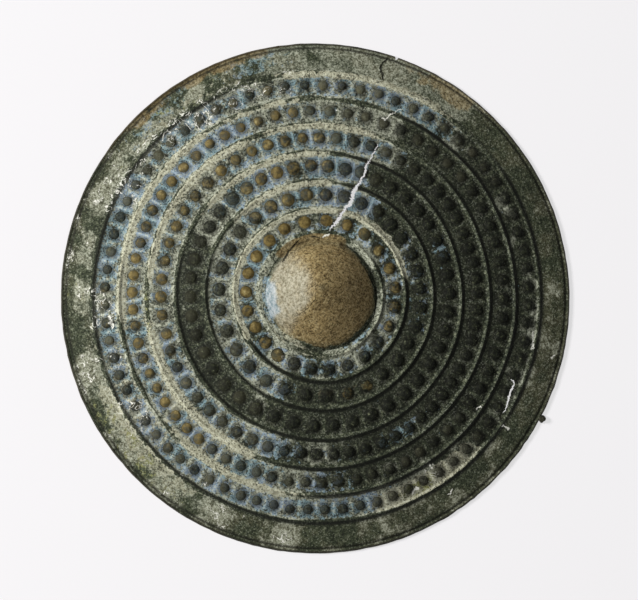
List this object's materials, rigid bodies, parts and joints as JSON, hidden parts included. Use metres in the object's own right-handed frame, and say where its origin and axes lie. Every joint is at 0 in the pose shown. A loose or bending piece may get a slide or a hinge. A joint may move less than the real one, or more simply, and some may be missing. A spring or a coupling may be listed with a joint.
{
  "type": "buckler shield",
  "caption": "Small round bronze shield: a domed sheet with ribs, rings of round studs, a pointed boss, a folded flat hem and a strap grip behind, split beside the boss.",
  "frame": {"origin": "centre of the rim's circle, on the flat underside of the hem", "axes": "+Z out of the shield's face along its axis, towards the tip of the boss; seen from the face, with the long split above the boss and a little to the right, +X is right and +Y is up"},
  "size_m": [0.4, 0.4, 0.0744],
  "materials": {
    "patinated_bronze": "matt dark green-brown and grey-blue patina with ochre studs and boss",
    "dull_bronze": "dull brown bronze with a thin patina",
    "rivet_bronze": "ochre-brown patinated bronze"
  },
  "bodies": {
    "root": {"shield_sheet": "patinated_bronze", "hand_grip": "dull_bronze", "grip_rivet_a": "rivet_bronze", "grip_rivet_b": "rivet_bronze"}
  },
  "joints": []
}
